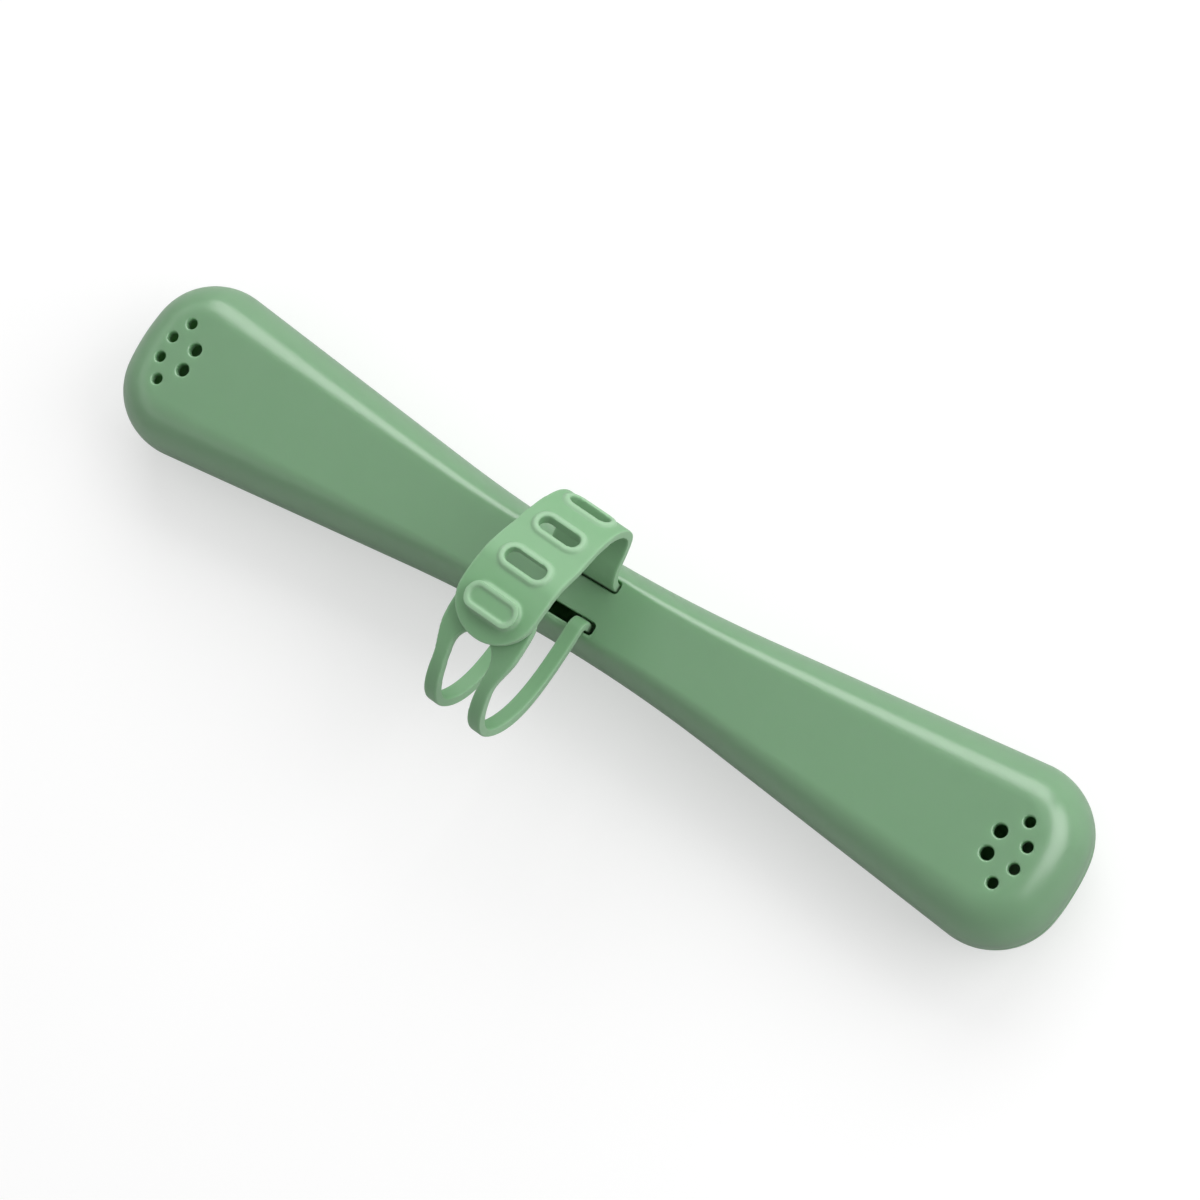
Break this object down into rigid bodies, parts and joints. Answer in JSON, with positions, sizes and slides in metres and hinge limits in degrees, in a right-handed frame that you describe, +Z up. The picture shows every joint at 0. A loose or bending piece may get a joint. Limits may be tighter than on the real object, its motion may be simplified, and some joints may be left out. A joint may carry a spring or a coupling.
{
  "type": "travel toothbrush case",
  "caption": "Waisted clamshell toothbrush case with vented ends, an end hinge, a snap catch and a buckled silicone carrying strap threaded through its lid.",
  "frame": {"origin": "middle of the flat underside of the base", "axes": "+X along the case, from the hinge end towards the catch end; +Y across the case, away from the strap's legs; +Z up, out of the lid"},
  "size_m": [0.2203, 0.051, 0.0526],
  "materials": {
    "shell_plastic": "satin moulded plastic, sage green",
    "strap_silicone": "soft matte silicone, light sage green",
    "pin_steel": "plain drawn steel"
  },
  "bodies": {
    "base": {"base_shell": "shell_plastic", "hinge_pin": "pin_steel"},
    "lid": {"lid_shell": "shell_plastic", "strap_anchor": "strap_silicone"},
    "legs": {"strap_legs": "strap_silicone"},
    "band": {"strap_band": "strap_silicone"},
    "tip": {"strap_tip": "strap_silicone"}
  },
  "joints": [
    {"name": "lid_hinge", "type": "hinge", "parent": "base", "child": "lid", "pos_m": [-0.1092, 0, 0.011], "axis": [0, -1, 0], "range_deg": [0, 110]},
    {"name": "strap_legs_swing", "type": "hinge", "parent": "lid", "child": "legs", "pos_m": [0, -0.01103, 0.02294], "axis": [1, 0, 0], "range_deg": [0, 80], "stiffness_Nm_per_rad": 0.006, "springref_deg": -20.05, "deforming": ["strap_tip"]},
    {"name": "strap_band_open", "type": "hinge", "parent": "lid", "child": "band", "pos_m": [0.00086, 0.01447, 0.03398], "axis": [-0.9982, 0.0593, 0], "range_deg": [0, 100], "stiffness_Nm_per_rad": 0.006, "springref_deg": -20.05, "deforming": ["strap_tip"]},
    {"name": "strap_tip_peel", "type": "hinge", "parent": "band", "child": "tip", "pos_m": [-0.00032, -0.00542, 0.05044], "axis": [-0.9982, 0.0593, 0], "range_deg": [0, 60], "stiffness_Nm_per_rad": 0.004, "springref_deg": -11.46, "deforming": ["strap_tip"]}
  ]
}
